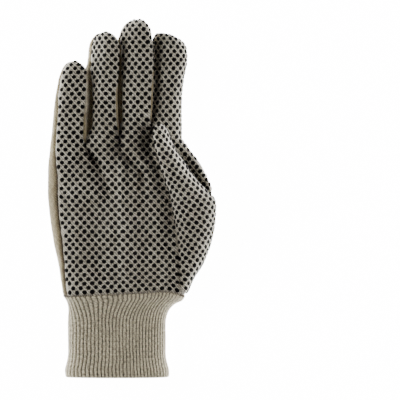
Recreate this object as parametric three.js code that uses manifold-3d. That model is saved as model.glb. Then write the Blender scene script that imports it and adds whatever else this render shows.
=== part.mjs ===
// A cotton work glove for the right hand, lying palm up with its fingers along +Y.
// Dotted canvas covers the palm, the finger fronts and the whole forefinger, plain canvas the backs
// of the other three fingers. The thumb is sewn in over a hole in the palm's side, and a ribbed knit
// wrist is sewn to the open end. All pieces are hollow. Millimetres, +Z up, the floor at Z = 0.

import * as THREE from "three";
import { mergeVertices } from "three/addons/utils/BufferGeometryUtils.js";
import Module from "manifold-3d";

const wasm = await Module();
wasm.setup();

// Driving sizes.
const CANVAS_WALL = 1.2;
const SEAM_GAP = 0.3; // between two pieces that are sewn together
const FINGER_GAP = 0.8; // between two neighbouring fingers
const PALM_LENGTH = 106.6; // from the wrist seam to the crotch beside the little finger
const PALM_HEIGHT = 26;
const THUMB_LENGTH = 121;
const THUMB_WIDTH = 32.2;
const THUMB_HEIGHT = 24;
const KNIT_LENGTH = 59;
const KNIT_WIDTH = 71;
const KNIT_HEIGHT = 24;
const KNIT_WALL = 2.6; // two layers of rib knit
const RIB_COUNT = 56;
const RIB_DEPTH = 0.8;
const SEAM_SHARE = 0.45; // height of the side seam in a section, as a share of its height
const BACK_BULGE = 1.12; // the back would bulge this far below the seam, and the floor flattens it
const GROOVE_LENGTH = 36; // how far a groove runs from a finger's crotch into the palm

// Fingers from the little finger to the forefinger. Length is from the crotch line to the tip. Slant
// drops the tip's thumb side, square sharpens its corners, and rise is how far the plain back reaches
// up the finger's outer side.
const FINGERS = [
  { name: "little", length: 64.3, width: 26, height: 17.5, round: 15, slant: 0, square: 2.3, rise: 6.4 },
  { name: "ring", length: 83, width: 23, height: 18, round: 12, slant: 0, square: 2.5, rise: 8 },
  { name: "middle", length: 84.8, width: 22.8, height: 18.5, round: 14, slant: 0, square: 2.3, rise: 5.6 },
  { name: "fore", length: 71, width: 20.6, height: 18, round: 9, slant: 4, square: 3.4, rise: 0 },
];
// Along is a share of the finger's length, centre and width are shares of its width at the root.
const FINGER_SHAPES = {
  little: [
    { along: 0, centre: 0, width: 1 },
    { along: 0.26, centre: 0.005, width: 0.925 },
    { along: 0.54, centre: 0.04, width: 0.88 },
    { along: 0.72, centre: 0.09, width: 0.83 },
    { along: 0.86, centre: 0.135, width: 0.79 },
    { along: 1, centre: 0.15, width: 0.77 },
  ],
  ring: [
    { along: 0, centre: 0, width: 1 },
    { along: 0.16, centre: -0.03, width: 0.985 },
    { along: 0.32, centre: -0.055, width: 0.95 },
    { along: 0.5, centre: -0.055, width: 0.93 },
    { along: 0.67, centre: -0.02, width: 0.97 },
    { along: 0.84, centre: 0.03, width: 0.93 },
    { along: 1, centre: 0.05, width: 0.86 },
  ],
  middle: [
    { along: 0, centre: 0, width: 1 },
    { along: 0.18, centre: -0.03, width: 0.985 },
    { along: 0.34, centre: -0.025, width: 1.03 },
    { along: 0.52, centre: 0, width: 1.035 },
    { along: 0.72, centre: 0.03, width: 1 },
    { along: 0.87, centre: 0.02, width: 0.97 },
    { along: 1, centre: 0.03, width: 0.9 },
  ],
  fore: [
    { along: 0, centre: 0, width: 1 },
    { along: 0.2, centre: 0, width: 0.965 },
    { along: 0.4, centre: 0.035, width: 0.965 },
    { along: 0.56, centre: 0.08, width: 1 },
    { along: 0.72, centre: 0.14, width: 1.1 },
    { along: 0.86, centre: 0.14, width: 1.11 },
    { along: 1, centre: 0.1, width: 1.04 },
  ],
};
// Where the cloth parts into fingers, from the outer side of the little finger to the forefinger's
// thumb side, as shares of the palm's length.
const CROTCHES = [0.98, 1, 1.017, 1.142, 1.068];
// Sections of the palm. Along is a share of its length, left and right are how far its sides stand
// out past the finger roots, as shares of the roots' whole width. Height is a share of its height, and
// so is rise, how far the plain back reaches up the little finger's side.
const PALM = [
  { along: 0, left: -0.104, right: 0.027, height: 0.92, rise: 0.2 },
  { along: 0.1, left: -0.081, right: 0.04, height: 0.96, rise: 0.26 },
  { along: 0.22, left: -0.06, right: 0.068, height: 0.99, rise: 0.31 },
  { along: 0.37, left: -0.023, right: 0.112, height: 1, rise: 0.34 },
  { along: 0.52, left: 0.004, right: 0.158, height: 1, rise: 0.35 },
  { along: 0.65, left: 0.018, right: 0.212, height: 0.98, rise: 0.33 },
  { along: 0.72, left: 0.02, right: 0.232, height: 0.96, rise: 0.31 },
  { along: 0.8, left: 0.02, right: 0.197, height: 0.92, rise: 0.28 },
  { along: 0.89, left: 0.019, right: 0.147, height: 0.86, rise: 0.25 },
  { along: 0.98, left: 0.008, right: 0.073, height: 0.78, rise: 0.22 },
  { along: 1.068, left: 0, right: 0, height: 0.72, rise: 0.2 },
];
// Sections of the thumb, from its lower end beside the wrist seam to its tip. Along is a share of its
// length, centre is its distance from the forefinger's thumb side as a share of the roots' whole
// width, width a share of its width, rise its mid height as a share of the palm's height, and height
// a share of its own.
const THUMB = [
  { along: 0, centre: 0.017, width: 0.16, rise: 0.44, height: 0.6 },
  { along: 0.08, centre: 0.03, width: 0.33, rise: 0.46, height: 0.8 },
  { along: 0.17, centre: 0.064, width: 0.58, rise: 0.52, height: 0.96 },
  { along: 0.26, centre: 0.087, width: 0.72, rise: 0.6, height: 1.04 },
  { along: 0.34, centre: 0.097, width: 0.82, rise: 0.69, height: 1.04 },
  { along: 0.44, centre: 0.1, width: 0.93, rise: 0.83, height: 0.98 },
  { along: 0.55, centre: 0.087, width: 0.99, rise: 0.99, height: 0.88 },
  { along: 0.61, centre: 0.058, width: 0.92, rise: 1.07, height: 0.82 },
  { along: 0.68, centre: 0.01, width: 0.81, rise: 1.14, height: 0.76 },
  { along: 0.75, centre: -0.038, width: 0.71, rise: 1.18, height: 0.72 },
  { along: 0.84, centre: -0.096, width: 0.56, rise: 1.18, height: 0.68 },
  { along: 0.92, centre: -0.134, width: 0.46, rise: 1.15, height: 0.64 },
  { along: 1, centre: -0.158, width: 0.4, rise: 1.12, height: 0.6 },
];
const THUMB_START = 0.024; // the thumb's lower end, as a share of the palm's length
const THUMB_ROUND = 12; // length of the thumb's rounded tip
// Soft dents and swellings in the palm side. X is a share of the roots' whole width from the little
// finger's outer side, y a share of the palm's length, and depth a share of the palm's height.
const DENTS = [
  { x1: 0.29, y1: 0.98, x2: 0.37, y2: 0.72, reach: 5, depth: 0.1 },
  { x1: 0.55, y1: 0.97, x2: 0.66, y2: 0.76, reach: 5, depth: 0.09 },
  { x1: 0.53, y1: 0.68, x2: 0.56, y2: 0.3, reach: 4.5, depth: 0.055 },
  { x1: 0.87, y1: 0.98, x2: 0.93, y2: 0.62, reach: 14, depth: 0.12 },
  { x1: 0.22, y1: 0.5, x2: 0.26, y2: 0.2, reach: 9, depth: -0.03 },
];
// The seam down the back, from the crotch between middle finger and forefinger to the wrist. X is a
// share of the roots' whole width from the little finger's outer side, y a share of palm length.
const BACK_SEAM = [
  { along: -0.05, x: 0.75 },
  { along: 0.01, x: 0.746 },
  { along: 0.22, x: 0.719 },
  { along: 0.42, x: 0.672 },
  { along: 0.7, x: 0.636 },
  { along: 0.9, x: 0.628 },
  { along: 1.03, x: 0.665 },
  { along: 1.142, x: 0.755 },
];
// Sections of the knit wrist, from the seam to the open end. Along is a share of its length, left and
// right are its sides from its own middle as shares of its width, height a share of its height.
const KNIT = [
  { along: 0, left: -0.512, right: 0.672, height: 1 },
  { along: 0.06, left: -0.492, right: 0.65, height: 0.99 },
  { along: 0.13, left: -0.487, right: 0.585, height: 0.97 },
  { along: 0.2, left: -0.493, right: 0.54, height: 0.95 },
  { along: 0.29, left: -0.497, right: 0.51, height: 0.94 },
  { along: 0.4, left: -0.498, right: 0.502, height: 0.94 },
  { along: 0.72, left: -0.498, right: 0.502, height: 0.96 },
  { along: 0.82, left: -0.508, right: 0.512, height: 0.98 },
  { along: 0.93, left: -0.527, right: 0.533, height: 1 },
  { along: 1, left: -0.522, right: 0.535, height: 1 },
];

// Mesh density.
const LOBE_STEPS = 6; // across each finger, on each side
const PALM_ROWS = 11;
const FINGER_ROWS = 5;
const TIP_ROWS = 3;
const THUMB_ROWS = 14;
const THUMB_SIDES = 20;
const KNIT_ROWS = 9;

const clamp = THREE.MathUtils.clamp;
const lerp = THREE.MathUtils.lerp;

// A column of a table at a place along it, on a smooth curve through the rows.
function column(table, name, at) {
  const last = table.length - 1;
  let i = table.findIndex((row) => row.along > at) - 1;
  if (i < 0) i = at <= table[0].along ? 0 : last - 1;
  const slope = (k) => {
    const a = table[Math.max(k - 1, 0)];
    const b = table[Math.min(k + 1, last)];
    return (b[name] - a[name]) / (b.along - a.along);
  };
  const [p, q] = [table[i], table[i + 1]];
  const span = q.along - p.along;
  const t = clamp((at - p.along) / span, 0, 1);
  const rest = 1 - t;
  return (
    p[name] * (1 + 2 * t) * rest * rest +
    slope(i) * span * t * rest * rest +
    q[name] * t * t * (3 - 2 * t) -
    slope(i + 1) * span * t * t * rest
  );
}

// How wide a rounded tip still is, from 1 where the rounding starts to 0 at the very tip.
function tipShare(y, tip, round, square) {
  const t = clamp((y - (tip - round)) / round, 0, 1);
  return Math.pow(Math.max(1 - Math.pow(t, square), 0), 1 / square);
}

// Places of the finger roots, worked out from the fingers' own widths.
const ROOTS_WIDTH =
  FINGERS.reduce((sum, finger) => sum + finger.width, 0) + FINGER_GAP * (FINGERS.length - 1);
const rootEdges = [];
FINGERS.reduce((x, finger) => {
  rootEdges.push({ left: x, right: x + finger.width });
  return x + finger.width + FINGER_GAP;
}, 0);
const partings = [0];
for (let i = 1; i < FINGERS.length; i++)
  partings.push((rootEdges[i - 1].right + rootEdges[i].left) / 2);
partings.push(ROOTS_WIDTH);

const crotchY = (across) => {
  const i = clamp(Math.floor(across), 0, FINGERS.length - 1);
  return PALM_LENGTH * lerp(CROTCHES[i], CROTCHES[i + 1], across - i);
};
const fingerTipY = (i) => (crotchY(i) + crotchY(i + 1)) / 2 + FINGERS[i].length;
const palmLeft = (y) => -ROOTS_WIDTH * column(PALM, "left", y / PALM_LENGTH);
const palmRight = (y) => ROOTS_WIDTH * (1 + column(PALM, "right", y / PALM_LENGTH));

// Whole height of the palm's section, easing into the fingers' own height at the crotches.
const palmHeight = (y) => PALM_HEIGHT * column(PALM, "height", y / PALM_LENGTH);

// Depth of the dents at a place on the palm side.
function dentDepth(x, y) {
  let depth = 0;
  for (const dent of DENTS) {
    const ax = dent.x1 * ROOTS_WIDTH;
    const ay = dent.y1 * PALM_LENGTH;
    const dx = dent.x2 * ROOTS_WIDTH - ax;
    const dy = dent.y2 * PALM_LENGTH - ay;
    const t = clamp(((x - ax) * dx + (y - ay) * dy) / (dx * dx + dy * dy), 0, 1);
    const away = Math.hypot(x - ax - t * dx, y - ay - t * dy) / dent.reach;
    depth += dent.depth * PALM_HEIGHT * Math.exp(-away * away);
  }
  return depth;
}

// A point of the palm's skin. Across runs from 0 to the number of fingers, share from the wrist seam
// to the crotch line, and side is 1 on the palm side and -1 on the back. The section is an oval that
// turns into one lobe for each finger.
function palmPoint(across, share, side) {
  const crotch = crotchY(across);
  const y = crotch * share;
  const left = palmLeft(y);
  const right = palmRight(y);
  const height = palmHeight(y);
  const seam = height * SEAM_SHARE;
  const turn = Math.PI * (across / FINGERS.length);
  const ovalX = (left + right) / 2 - ((right - left) / 2) * Math.cos(turn);
  const ovalZ = (side > 0 ? height - seam : seam * BACK_BULGE) * Math.pow(Math.sin(turn), 0.75);
  const i = clamp(Math.floor(across), 0, FINGERS.length - 1);
  const edgeOf = (k) => {
    if (k === 0) return left;
    if (k === FINGERS.length) return right;
    return partings[k];
  };
  const swing = ((across - i) * 2 - 1) * (Math.PI / 2);
  const onParting = across === Math.round(across);
  const middle = (edgeOf(i) + edgeOf(i + 1)) / 2;
  const lobeX = onParting ? edgeOf(across) : middle + ((edgeOf(i + 1) - edgeOf(i)) / 2) * Math.sin(swing);
  const lobeRise = FINGERS[i].height * (side > 0 ? 1 - SEAM_SHARE : SEAM_SHARE * BACK_BULGE);
  const lobeZ = onParting ? 0 : lobeRise * Math.cos(swing);
  const open = Math.sin((Math.PI / 2) * Math.pow(clamp((crotch - y) / GROOVE_LENGTH, 0, 1), 0.8));
  const x = lerp(lobeX, ovalX, open);
  let z = lerp(FINGERS[i].height * SEAM_SHARE, seam, open) + side * lerp(lobeZ, ovalZ, open);
  if (onParting && across > 0 && across < FINGERS.length) {
    const lower = Math.min(FINGERS[i - 1].height, FINGERS[i].height);
    z = lerp(lower * SEAM_SHARE, seam, open) + side * lerp(lobeZ, ovalZ, open);
  }
  if (side > 0) z -= dentDepth(x, y) * Math.sin(turn) * Math.min(1, 1.6 * open);
  return new THREE.Vector3(x, y, Math.max(z, 0));
}

// A point of a finger's skin. Across runs from -1 to 1 and step counts rows from the crotch line.
function fingerPoint(i, across, step, side) {
  const finger = FINGERS[i];
  const shape = FINGER_SHAPES[finger.name];
  const tip = fingerTipY(i);
  const root = crotchY(i + (across + 1) / 2);
  const roundStart = tip - finger.round;
  const y =
    step <= FINGER_ROWS
      ? lerp(root, roundStart, step / FINGER_ROWS)
      : lerp(roundStart, tip, Math.sin(((step - FINGER_ROWS) / TIP_ROWS) * (Math.PI / 2)));
  const start = (crotchY(i) + crotchY(i + 1)) / 2;
  const along = (y - start) / finger.length;
  const closing = tipShare(y, tip, finger.round, finger.square);
  const middle = (rootEdges[i].left + rootEdges[i].right) / 2;
  const centre = middle + finger.width * column(shape, "centre", along);
  const half = ((finger.width * column(shape, "width", along)) / 2) * closing;
  const seam = finger.height * SEAM_SHARE;
  const rise = (side > 0 ? finger.height - seam : seam * BACK_BULGE) * Math.sqrt(closing);
  const swing = across * (Math.PI / 2);
  const slope = clamp(1 - (tip - y) / (2.5 * finger.round), 0, 1) * closing;
  return new THREE.Vector3(
    centre + half * Math.sin(swing),
    y - finger.slant * slope * Math.sin(swing),
    Math.max(seam + side * rise * Math.cos(swing), 0),
  );
}

// Triangles of a patch whose corners come from a function of row and column.
function addPatch(corners, rows, columns, flip, pointAt) {
  for (let r = 0; r < rows; r++)
    for (let c = 0; c < columns; c++) {
      const quad = [pointAt(r, c), pointAt(r, c + 1), pointAt(r + 1, c + 1), pointAt(r + 1, c)];
      if (flip) quad.reverse();
      corners.push(quad[0], quad[1], quad[2], quad[0], quad[2], quad[3]);
    }
}

// A manifold-3d solid from the triangle corners of a skin and of its flat caps. Shared points are
// merged and empty triangles dropped. The skin is moved inwards by inset, but no lower than that above
// the floor, and its capped end is moved outwards.
function solidFrom(skin, caps = [], inset = 0) {
  const soup = new THREE.BufferGeometry().setFromPoints([...skin, ...caps]);
  const merged = mergeVertices(soup, 1e-4);
  const index = Array.from(merged.index.array);
  merged.setIndex(index.slice(0, skin.length));
  merged.computeVertexNormals();
  const points = merged.attributes.position;
  const ends = new Set(index.slice(skin.length));
  const point = new THREE.Vector3();
  const normal = new THREE.Vector3();
  for (let i = 0; i < points.count && inset; i++) {
    point.fromBufferAttribute(points, i);
    normal.fromBufferAttribute(merged.attributes.normal, i);
    point.addScaledVector(normal, -inset);
    if (ends.has(i)) point.y -= Math.abs(inset);
    points.setXYZ(i, point.x, point.y, Math.max(point.z, inset));
  }
  const kept = [];
  for (let i = 0; i < index.length; i += 3) {
    const [a, b, c] = [index[i], index[i + 1], index[i + 2]];
    if (a !== b && b !== c && a !== c) kept.push(a, b, c);
  }
  return new wasm.Manifold(
    new wasm.Mesh({ numProp: 3, vertProperties: points.array, triVerts: new Uint32Array(kept) }),
  );
}

// The whole hand without its thumb, as one closed skin moved inwards by inset.
function handSolid(inset) {
  const skin = [];
  const mouth = [];
  const across = (c) => c / LOBE_STEPS;
  const columns = LOBE_STEPS * FINGERS.length;
  for (const side of [1, -1]) {
    addPatch(skin, PALM_ROWS, columns, side < 0, (r, c) => palmPoint(across(c), r / PALM_ROWS, side));
    FINGERS.forEach((finger, i) => {
      const pointAt = (r, c) =>
        r ? fingerPoint(i, across(c) * 2 - 1, r, side) : palmPoint(i + across(c), 1, side);
      addPatch(skin, FINGER_ROWS + TIP_ROWS, LOBE_STEPS, side < 0, pointAt);
    });
  }
  addPatch(mouth, 1, columns, false, (r, c) => palmPoint(across(c), 0, r ? 1 : -1));
  return solidFrom(skin, mouth, inset);
}

// A closed tube through rings of points, moved inwards by inset.
function tubeSolid(rings, inset = 0) {
  const skin = [];
  const sides = rings[0].length;
  addPatch(skin, rings.length - 1, sides, false, (r, c) => rings[r][c % sides]);
  for (const [ring, flip] of [
    [rings[0], true],
    [rings[rings.length - 1], false],
  ]) {
    const middle = ring.reduce((sum, p) => sum.add(p), new THREE.Vector3()).divideScalar(sides);
    for (let c = 0; c < sides; c++) {
      const pair = [ring[c], ring[(c + 1) % sides]];
      if (flip) pair.reverse();
      skin.push(middle, pair[0], pair[1]);
    }
  }
  return solidFrom(skin, [], inset);
}

function thumbSolid(inset) {
  const rings = [];
  const start = THUMB_START * PALM_LENGTH;
  const tip = start + THUMB_LENGTH;
  const roundStart = tip - THUMB_ROUND;
  for (let r = 0; r <= THUMB_ROWS + TIP_ROWS; r++) {
    const y =
      r <= THUMB_ROWS
        ? lerp(start, roundStart, r / THUMB_ROWS)
        : lerp(roundStart, tip, Math.sin(((r - THUMB_ROWS) / TIP_ROWS) * (Math.PI / 2)));
    const at = (y - start) / THUMB_LENGTH;
    const closing = Math.max(tipShare(y, tip, THUMB_ROUND, 2.2), 0.1);
    const centre = ROOTS_WIDTH * (1 + column(THUMB, "centre", at));
    const half = ((THUMB_WIDTH * column(THUMB, "width", at)) / 2) * closing;
    const rise = ((THUMB_HEIGHT * column(THUMB, "height", at)) / 2) * Math.sqrt(closing);
    const middle = PALM_HEIGHT * column(THUMB, "rise", at);
    const ring = [];
    for (let c = 0; c < THUMB_SIDES; c++) {
      const turn = (c / THUMB_SIDES) * Math.PI * 2;
      const z = middle + rise * Math.sin(turn);
      ring.push(new THREE.Vector3(centre + half * Math.cos(turn), y, Math.max(z, 0)));
    }
    rings.push(ring);
  }
  return tubeSolid(rings.reverse(), inset);
}

// The space that plain canvas fills: under the side seams of three fingers, and the back up to the
// back seam. Grow widens it, so that what is left outside keeps a gap to what is inside.
function plainSpace(grow) {
  const below = -5;
  const steps = [...Array(PALM_ROWS + 1).keys()].map((r) => r / PALM_ROWS);
  const block = (sectionAt) =>
    tubeSolid(
      steps.map((share) => {
        const { y, left, right } = sectionAt(share);
        return [
          new THREE.Vector3(left.x, y, below),
          new THREE.Vector3(left.x, y, left.z + grow),
          new THREE.Vector3((left.x + right.x) / 2, y, right.z + grow),
          new THREE.Vector3(right.x, y, right.z + grow),
          new THREE.Vector3(right.x, y, below),
        ];
      }),
    );
  const last = FINGERS.length - 1;
  const palm = block((share) => {
    const y = lerp(-2, PALM_LENGTH * CROTCHES[last] + grow, share);
    const along = y / PALM_LENGTH;
    const seam = palmHeight(y) * SEAM_SHARE;
    const x = ROOTS_WIDTH * column(BACK_SEAM, "x", along) + grow;
    const rise = PALM_HEIGHT * column(PALM, "rise", along);
    return { y, left: { x: palmLeft(y) - 5, z: seam + rise }, right: { x, z: seam } };
  });
  const edgeAt = (k, sign, y) => {
    const finger = FINGERS[k];
    const shape = FINGER_SHAPES[finger.name];
    const at = (y - (crotchY(k) + crotchY(k + 1)) / 2) / finger.length;
    const middle = (rootEdges[k].left + rootEdges[k].right) / 2;
    const half = column(shape, "width", at) / 2;
    return middle + finger.width * (column(shape, "centre", at) + sign * half);
  };
  const gapAt = (k, y) => (k ? (edgeAt(k - 1, 1, y) + edgeAt(k, -1, y)) / 2 : edgeAt(0, -1, y) - 5);
  const fingers = FINGERS.slice(0, last).map((finger, i) =>
    block((share) => {
      const y = lerp(crotchY(i + 0.5) - 2, fingerTipY(i) + 3, share);
      const seam = finger.height * SEAM_SHARE;
      const left = gapAt(i, y) - (i ? 0 : grow);
      return {
        y,
        left: { x: left, z: seam + finger.rise },
        right: { x: gapAt(i + 1, y) + (i === last - 1 ? grow : 0), z: seam },
      };
    }),
  );
  return fingers.reduce((all, solid) => all.add(solid), palm);
}

// The knit wrist: a hollow tube whose outer and inner skins are closed into one wall at both ends.
function knitSolid() {
  const middle = (palmLeft(0) + palmRight(0)) / 2;
  const seamHalf = (palmRight(0) - palmLeft(0)) / 2;
  const topLeft = column(KNIT, "left", 0) * KNIT_WIDTH;
  const topRight = column(KNIT, "right", 0) * KNIT_WIDTH;
  const centre = middle - (topLeft + topRight) / 2;
  const fit = seamHalf / ((topRight - topLeft) / 2); // the top takes the canvas's own width
  const rows = KNIT_ROWS;
  const sides = RIB_COUNT * 2;
  const ringAt = (share, inset, ribs) => {
    const along = clamp(share, 0, 1);
    const blend = clamp(1 - along / KNIT[3].along, 0, 1);
    const widen = lerp(1, fit, blend);
    const mean = (topLeft + topRight) / 2;
    const left = mean * (1 - widen) + column(KNIT, "left", along) * KNIT_WIDTH * widen;
    const right = mean * (1 - widen) + column(KNIT, "right", along) * KNIT_WIDTH * widen;
    const height = KNIT_HEIGHT * column(KNIT, "height", along);
    const seam = height * SEAM_SHARE;
    const y = -SEAM_GAP - along * (KNIT_LENGTH - SEAM_GAP);
    const pointAt = (turn, inward) => {
      const half = (right - left) / 2 - inward;
      const full = turn < Math.PI ? height - seam : seam * BACK_BULGE;
      const rise = (full - inward) * Math.pow(Math.abs(Math.sin(turn)), 0.75);
      const z = seam + (turn < Math.PI ? rise : -rise);
      return new THREE.Vector3(centre + (left + right) / 2 + half * Math.cos(turn), y, Math.max(z, inset));
    };
    // The ribs are evenly spaced along the cloth, so each turn is found from the length up to it.
    const fine = [...Array(721).keys()].map((k) => (k / 720) * Math.PI * 2);
    const lengths = [0];
    for (let k = 1; k < fine.length; k++)
      lengths.push(lengths[k - 1] + pointAt(fine[k], inset).distanceTo(pointAt(fine[k - 1], inset)));
    const turnAt = (share) => {
      const want = share * lengths[lengths.length - 1];
      const k = Math.max(lengths.findIndex((length) => length > want), 1);
      return lerp(fine[k - 1], fine[k], (want - lengths[k - 1]) / (lengths[k] - lengths[k - 1]));
    };
    return [...Array(sides).keys()].map((c) =>
      pointAt(turnAt((ribs ? c : c - (c % 2)) / sides), inset + (ribs && c % 2 ? RIB_DEPTH : 0)),
    );
  };
  const outer = [];
  const inner = [];
  for (let r = 0; r <= rows; r++) {
    outer.push(ringAt(r / rows, 0, true));
    inner.push(ringAt(r / rows, KNIT_WALL, false));
  }
  const corners = [];
  const wrap = (list) => (r, c) => list[r][c % sides];
  addPatch(corners, rows, sides, false, wrap(outer));
  addPatch(corners, rows, sides, true, wrap(inner));
  addPatch(corners, 1, sides, false, (r, c) => (r ? outer : inner)[0][c % sides]);
  addPatch(corners, 1, sides, false, (r, c) => (r ? inner : outer)[rows][c % sides]);
  return solidFrom(corners);
}

// The one body that a cut leaves, without the crumbs beside it.
function mainBody(solid) {
  const bodies = solid.decompose();
  return bodies.reduce((best, body) => (body.volume() > best.volume() ? body : best));
}

// A named mesh from a manifold-3d solid.
function meshOf(name, solid, material) {
  const made = solid.getMesh();
  const geometry = new THREE.BufferGeometry();
  geometry.setAttribute("position", new THREE.BufferAttribute(made.vertProperties, 3));
  geometry.setIndex(new THREE.BufferAttribute(made.triVerts, 1));
  geometry.computeVertexNormals();
  const mesh = new THREE.Mesh(geometry, material);
  mesh.name = name;
  return mesh;
}

const cloth = (color) => new THREE.MeshStandardMaterial({ color, roughness: 0.95, metalness: 0 });
const dottedCanvas = cloth(0x6b665c);
const plainCanvas = cloth(0xcdbd9a);
const knit = cloth(0xa89e84);

const shell = handSolid(0).subtract(handSolid(CANVAS_WALL));
const thumbHollow = thumbSolid(CANVAS_WALL);
const plain = plainSpace(0);
const plainWide = plainSpace(SEAM_GAP);
const palm = mainBody(shell.subtract(plainWide).subtract(thumbHollow));
const back = mainBody(shell.intersect(plain));
const thumb = mainBody(thumbSolid(0).subtract(thumbHollow).subtract(handSolid(-SEAM_GAP)));

const glove = new THREE.Group();
glove.add(
  meshOf("dotted_palm", palm, dottedCanvas),
  meshOf("plain_back", back, plainCanvas),
  meshOf("dotted_thumb", thumb, dottedCanvas),
  meshOf("knit_wrist", knitSolid(), knit),
);

// The origin is the middle of the whole glove's box, on the floor.
const box = new THREE.Box3().setFromObject(glove);
const centre = box.getCenter(new THREE.Vector3());
glove.position.set(-centre.x, -centre.y, -box.min.z);

export default glove;
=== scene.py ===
"""A dotted canvas work glove with a rib-knit wrist, lying palm up on a pale floor. Metres."""

import math

import bpy
import numpy as np
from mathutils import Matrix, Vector
from mathutils.bvhtree import BVHTree
from mathutils.kdtree import KDTree


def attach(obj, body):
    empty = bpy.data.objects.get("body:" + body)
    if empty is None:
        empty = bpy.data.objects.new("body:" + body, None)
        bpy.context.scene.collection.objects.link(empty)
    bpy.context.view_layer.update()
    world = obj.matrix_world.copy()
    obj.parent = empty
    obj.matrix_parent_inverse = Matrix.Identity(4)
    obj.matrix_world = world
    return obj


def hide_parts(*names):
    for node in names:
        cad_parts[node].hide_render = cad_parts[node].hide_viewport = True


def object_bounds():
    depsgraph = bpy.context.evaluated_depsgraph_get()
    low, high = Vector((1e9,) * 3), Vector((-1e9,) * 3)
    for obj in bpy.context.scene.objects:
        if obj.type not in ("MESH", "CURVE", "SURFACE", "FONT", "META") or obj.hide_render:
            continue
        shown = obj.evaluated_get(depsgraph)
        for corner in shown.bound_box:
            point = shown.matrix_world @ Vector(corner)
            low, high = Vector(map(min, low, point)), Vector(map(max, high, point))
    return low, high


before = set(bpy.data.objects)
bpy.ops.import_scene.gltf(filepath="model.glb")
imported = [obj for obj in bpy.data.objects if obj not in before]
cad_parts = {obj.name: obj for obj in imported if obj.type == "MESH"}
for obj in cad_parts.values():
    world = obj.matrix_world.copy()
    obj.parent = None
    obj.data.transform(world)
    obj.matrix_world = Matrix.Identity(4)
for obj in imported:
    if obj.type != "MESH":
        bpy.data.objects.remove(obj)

CAD_BOX = [[float(v) for v in corner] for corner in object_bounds()]
MM = 0.001


def table(names, *rows):
    """Rows of values, each under the given names."""
    return [dict(zip(names.split(), row)) for row in rows]


# Named sizes, the same as the part's own.
WALL = 1.2 * MM
FINGER_GAP = 0.8 * MM
PALM_LENGTH = 106.6 * MM
PALM_HEIGHT = 26 * MM
THUMB_LENGTH = 121 * MM
THUMB_WIDTH = 32.2 * MM
THUMB_HEIGHT = 24 * MM
THUMB_START = 0.024
THUMB_ROUND = 12 * MM
THUMB_SQUARE = 2.2
THUMB_TILT = math.radians(8)
THUMB_CREASE, THUMB_CREASE_AT, THUMB_CREASE_REACH = 0.09, 64 * MM, 5 * MM
KNIT_LENGTH = 59 * MM
KNIT_WIDTH = 71 * MM
KNIT_HEIGHT = 24 * MM
KNIT_WALL = 2.6 * MM
RIB_COUNT = 66
RIB_DEPTH = 0.8 * MM
RIB_PITCH = KNIT_WIDTH * 2.33 / RIB_COUNT
RIB_STRETCH = 0.13
RIB_FAN = 2.3
RIB_FAN_AT, RIB_FAN_WIDTH, RIB_FAN_LENGTH = 0.41, 0.09, 0.34
RIB_WANDER = 0.12
KNIT_UNEVEN = 0.25 * MM
SEAM_GAP = 0.3 * MM
SEAM_SHARE = 0.45
BACK_BULGE = 1.12
SECTION_POWER = 0.75
GROOVE_LENGTH = 36 * MM
FINGER_SEAM = 8.1 * MM

# Fingers from the little finger to the forefinger, in millimetres. Round is the length of the
# rounded tip, slant how far it is skewed along the finger, and square the power of its curve.
FINGERS = table(
    "name length width height round slant square",
    ("little", 64.3, 26, 17.5, 15, 0, 2.3),
    ("ring", 83, 23, 18, 12, 0, 2.5),
    ("middle", 84.8, 22.8, 18.5, 14, 0, 2.3),
    ("fore", 71, 20.6, 18, 9, 4, 3.4),
)
# The side seams of the first three fingers. Strip is how far the plain back wraps round the outer
# side and turn_in how far round the inner side, in degrees of the section. Kept is the share of the
# strip that is left at the tip.
SEAMS = table(
    "strip kept turn_in",
    (42, 0.6, 24),
    (57, 0.5, 17),
    (44, 0.35, 18),
)
# Each finger lies with its inner side raised, over the outer side of the next.
FINGER_LEAN = 6 * MM
FINGER_DROPS = [0, 7.6 * MM, 3.2 * MM, 5.2 * MM]
THUMB_LEAN = 4 * MM
FINGER_LAP = 1.5 * MM
# From the crotches, fingers lean after the first length and part after the second.
LEAN_START = 14 * MM
PART_START = 1.2 * MM
# How much of the opening between two fingers each of them fills.
INNER_FILLS, OUTER_FILLS = 0.45, 0.55
# It is filled up to this far below the lower of the two tips, and fades over this length.
OPENING_END, OPENING_FADE = 1.5 * MM, 6 * MM
# Along is a share of the finger's length, centre and width are shares of its width at the root.
FINGER_SHAPES = {
    "little": dict(
        along=(0, 0.26, 0.54, 0.72, 0.86, 1),
        centre=(0, 0.005, 0.04, 0.09, 0.135, 0.15),
        width=(1, 0.925, 0.88, 0.83, 0.79, 0.77),
    ),
    "ring": dict(
        along=(0, 0.16, 0.32, 0.5, 0.67, 0.84, 1),
        centre=(0, -0.03, -0.055, -0.055, -0.02, 0.03, 0.05),
        width=(1, 0.985, 0.95, 0.93, 0.97, 0.93, 0.86),
    ),
    "middle": dict(
        along=(0, 0.18, 0.34, 0.52, 0.72, 0.87, 1),
        centre=(0, -0.03, -0.025, 0, 0.03, 0.02, 0.03),
        width=(1, 0.985, 1.03, 1.035, 1, 0.97, 0.9),
    ),
    "fore": dict(
        along=(0, 0.2, 0.4, 0.56, 0.72, 0.86, 1),
        centre=(0, 0, 0.035, 0.08, 0.14, 0.14, 0.1),
        width=(1, 0.965, 0.965, 1, 1.1, 1.11, 1.04),
    ),
}
CROTCHES = np.array([0.98, 1, 1.017, 1.142, 1.068])
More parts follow.
